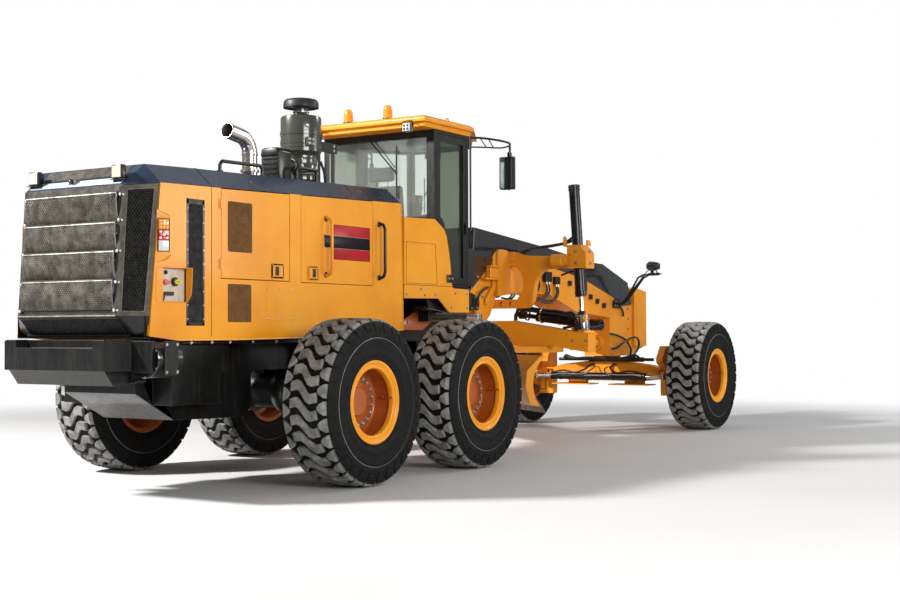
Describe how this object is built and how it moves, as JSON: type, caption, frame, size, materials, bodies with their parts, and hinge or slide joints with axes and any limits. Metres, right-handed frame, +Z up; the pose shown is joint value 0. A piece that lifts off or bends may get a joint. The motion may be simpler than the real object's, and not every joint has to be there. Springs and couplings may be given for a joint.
{
  "type": "motor grader",
  "caption": "Motor grader with a tandem rear axle, hinged frame, cab, and a blade on a turning circle hung from lift cylinders under a long front frame.",
  "frame": {"origin": "middle of the machine's bounding box at ground level, under the wheels", "axes": "+X forward to the front axle, +Y to the driver's left, +Z up"},
  "size_m": [11.166, 3.6446, 3.8319],
  "materials": {
    "orange_paint": "gloss",
    "hood_dark_paint": "gloss",
    "black_paint": "satin",
    "dark_mesh": "satin",
    "olive_paint": "gloss",
    "tyre_rubber": "matt",
    "rod_chrome": "polished",
    "exhaust_steel": "polished",
    "window_glass": "clear",
    "black_plastic": "matt",
    "lamp_plastic": "gloss",
    "seat_fabric": "matt",
    "worn_steel": "worn",
    "cast_black": "matt"
  },
  "bodies": {
    "rear_machine": {"rear_frame": "black_paint", "rear_axle": "black_paint", "engine_block": "cast_black", "hood_top": "hood_dark_paint", "hood_sides": "orange_paint", "rear_grille": "dark_mesh", "rear_bumper": "black_paint", "exhaust_stack": "exhaust_steel", "air_cleaner": "olive_paint", "handrails": "black_paint", "rear_lamps": "lamp_plastic", "cab_shell": "black_paint", "cab_roof": "orange_paint", "cab_windows": "window_glass", "cab_casing": "orange_paint", "operator_seat": "seat_fabric", "control_console": "black_plastic", "mirrors": "black_plastic", "articulation_barrels": "black_paint"},
    "front_machine": {"front_frame": "orange_paint", "frame_cover": "black_paint", "saddle": "orange_paint", "front_axle": "orange_paint", "front_cylinders": "black_paint", "front_lamps": "black_paint"},
    "drawbar": {"drawbar": "orange_paint", "shift_cylinder": "black_paint"},
    "circle": {"circle": "orange_paint"},
    "blade_bracket": {"blade_bracket": "orange_paint"},
    "tip_rod": {"tip_rod": "rod_chrome"},
    "blade": {"moldboard": "orange_paint", "cutting_edge": "worn_steel"},
    "steering_rods": {"steering_rods": "rod_chrome"},
    "knuckle_right": {"knuckle_right": "orange_paint"},
    "lift_rod_right": {"lift_rod_right": "rod_chrome"},
    "articulation_rod_right": {"articulation_rod_right": "rod_chrome"},
    "cab_door_right": {"cab_door_right": "black_paint", "cab_door_glass_right": "window_glass"},
    "engine_door_right_rear": {"engine_door_right_rear": "orange_paint"},
    "engine_door_right_front": {"engine_door_right_front": "orange_paint"},
    "knuckle_left": {"knuckle_left": "orange_paint"},
    "lift_rod_left": {"lift_rod_left": "rod_chrome"},
    "articulation_rod_left": {"articulation_rod_left": "rod_chrome"},
    "cab_door_left": {"cab_door_left": "black_paint", "cab_door_glass_left": "window_glass"},
    "engine_door_left_rear": {"engine_door_left_rear": "orange_paint"},
    "engine_door_left_front": {"engine_door_left_front": "orange_paint"},
    "wheel_rear_right": {"tyre_rear_right": "tyre_rubber", "rim_rear_right": "orange_paint"},
    "wheel_middle_right": {"tyre_middle_right": "tyre_rubber", "rim_middle_right": "orange_paint"},
    "wheel_rear_left": {"tyre_rear_left": "tyre_rubber", "rim_rear_left": "orange_paint"},
    "wheel_middle_left": {"tyre_middle_left": "tyre_rubber", "rim_middle_left": "orange_paint"},
    "wheel_front_right": {"tyre_front_right": "tyre_rubber", "rim_front_right": "orange_paint"},
    "wheel_front_left": {"tyre_front_left": "tyre_rubber", "rim_front_left": "orange_paint"}
  },
  "joints": [
    {"name": "articulation", "type": "hinge", "parent": "rear_machine", "child": "front_machine", "pos_m": [0.363, -0.11531, 1.54], "axis": [0, 0, 1], "range_deg": [-20, 20]},
    {"name": "articulation_rod_right_slide", "type": "slide", "parent": "rear_machine", "child": "articulation_rod_right", "axis": [1, 0, 0], "range_m": [-0.15, 0.15]},
    {"name": "articulation_rod_left_slide", "type": "slide", "parent": "rear_machine", "child": "articulation_rod_left", "axis": [1, 0, 0], "range_m": [-0.15, 0.15]},
    {"name": "steer_right", "type": "hinge", "parent": "front_machine", "child": "knuckle_right", "pos_m": [4.729, -1.16531, 0.8], "axis": [0, 0, 1], "range_deg": [-38, 38]},
    {"name": "steer_left", "type": "hinge", "parent": "front_machine", "child": "knuckle_left", "pos_m": [4.729, 0.93469, 0.8], "axis": [0, 0, 1], "range_deg": [-38, 38]},
    {"name": "steering_rods_slide", "type": "slide", "parent": "front_machine", "child": "steering_rods", "axis": [0, 1, 0], "range_m": [-0.215, 0.215]},
    {"name": "wheel_rear_right_spin", "type": "hinge", "parent": "rear_machine", "child": "wheel_rear_right", "pos_m": [-3.387, -1.51381, 0.7465], "axis": [0, 1, 0], "continuous": true},
    {"name": "wheel_middle_right_spin", "type": "hinge", "parent": "rear_machine", "child": "wheel_middle_right", "pos_m": [-1.475, -1.51381, 0.7465], "axis": [0, 1, 0], "continuous": true},
    {"name": "wheel_rear_left_spin", "type": "hinge", "parent": "rear_machine", "child": "wheel_rear_left", "pos_m": [-3.387, 1.28319, 0.7465], "axis": [0, 1, 0], "continuous": true},
    {"name": "wheel_middle_left_spin", "type": "hinge", "parent": "rear_machine", "child": "wheel_middle_left", "pos_m": [-1.475, 1.28319, 0.7465], "axis": [0, 1, 0], "continuous": true},
    {"name": "wheel_front_right_spin", "type": "hinge", "parent": "knuckle_right", "child": "wheel_front_right", "pos_m": [4.729, -1.56181, 0.7465], "axis": [0, 1, 0], "continuous": true},
    {"name": "wheel_front_left_spin", "type": "hinge", "parent": "knuckle_left", "child": "wheel_front_left", "pos_m": [4.729, 1.33119, 0.7465], "axis": [0, 1, 0], "continuous": true},
    {"name": "blade_lift", "type": "hinge", "parent": "front_machine", "child": "drawbar", "pos_m": [4.313, -0.11531, 1.2], "axis": [0, 1, 0], "range_deg": [-9, 3]},
    {"name": "lift_rod_right_slide", "type": "slide", "parent": "front_machine", "child": "lift_rod_right", "axis": [0, 0.0636, 0.998], "range_m": [-0.45, 0.15]},
    {"name": "lift_rod_left_slide", "type": "slide", "parent": "front_machine", "child": "lift_rod_left", "axis": [0, -0.0636, 0.998], "range_m": [-0.45, 0.15]},
    {"name": "circle_turn", "type": "hinge", "parent": "drawbar", "child": "circle", "pos_m": [1.613, -0.11531, 1.15], "axis": [0, 0, 1], "continuous": true},
    {"name": "blade_tip", "type": "hinge", "parent": "circle", "child": "blade_bracket", "pos_m": [1.19551, 0.23501, 0.6], "axis": [0.6428, 0.766, 0], "range_deg": [0, 25]},
    {"name": "tip_rod_slide", "type": "slide", "parent": "circle", "child": "tip_rod", "axis": [0.7556, -0.634, -0.1644], "range_m": [-0.002, 0.16]},
    {"name": "blade_side_shift", "type": "slide", "parent": "blade_bracket", "child": "blade", "axis": [0.6428, 0.766, 0], "range_m": [-0.3, 0.3]},
    {"name": "engine_door_right_rear_hinge", "type": "hinge", "parent": "rear_machine", "child": "engine_door_right_rear", "pos_m": [-4.446, -0.89831, 2.2], "axis": [0, 0, -1], "range_deg": [0, 90]},
    {"name": "engine_door_right_front_hinge", "type": "hinge", "parent": "rear_machine", "child": "engine_door_right_front", "pos_m": [-2.226, -0.89831, 2.2], "axis": [0, 0, 1], "range_deg": [0, 90]},
    {"name": "cab_door_right_hinge", "type": "hinge", "parent": "rear_machine", "child": "cab_door_right", "pos_m": [-0.987, -0.85331, 2.7], "axis": [0, 0, -1], "range_deg": [0, 85]},
    {"name": "engine_door_left_rear_hinge", "type": "hinge", "parent": "rear_machine", "child": "engine_door_left_rear", "pos_m": [-4.446, 0.66769, 2.2], "axis": [0, 0, 1], "range_deg": [0, 90]},
    {"name": "engine_door_left_front_hinge", "type": "hinge", "parent": "rear_machine", "child": "engine_door_left_front", "pos_m": [-2.226, 0.66769, 2.2], "axis": [0, 0, -1], "range_deg": [0, 90]},
    {"name": "cab_door_left_hinge", "type": "hinge", "parent": "rear_machine", "child": "cab_door_left", "pos_m": [-0.987, 0.62269, 2.7], "axis": [0, 0, 1], "range_deg": [0, 85]}
  ],
  "couplings": [
    {"joint": "articulation_rod_right_slide", "follows": "articulation", "m_per_rad": 0.41},
    {"joint": "articulation_rod_left_slide", "follows": "articulation", "m_per_rad": -0.41},
    {"joint": "steer_left", "follows": "steer_right", "ratio": 1},
    {"joint": "steering_rods_slide", "follows": "steer_right", "m_per_rad": -0.316},
    {"joint": "lift_rod_right_slide", "follows": "blade_lift", "m_per_rad": 2.83},
    {"joint": "lift_rod_left_slide", "follows": "blade_lift", "m_per_rad": 2.83},
    {"joint": "tip_rod_slide", "follows": "blade_tip", "m_per_rad": 0.3546}
  ]
}
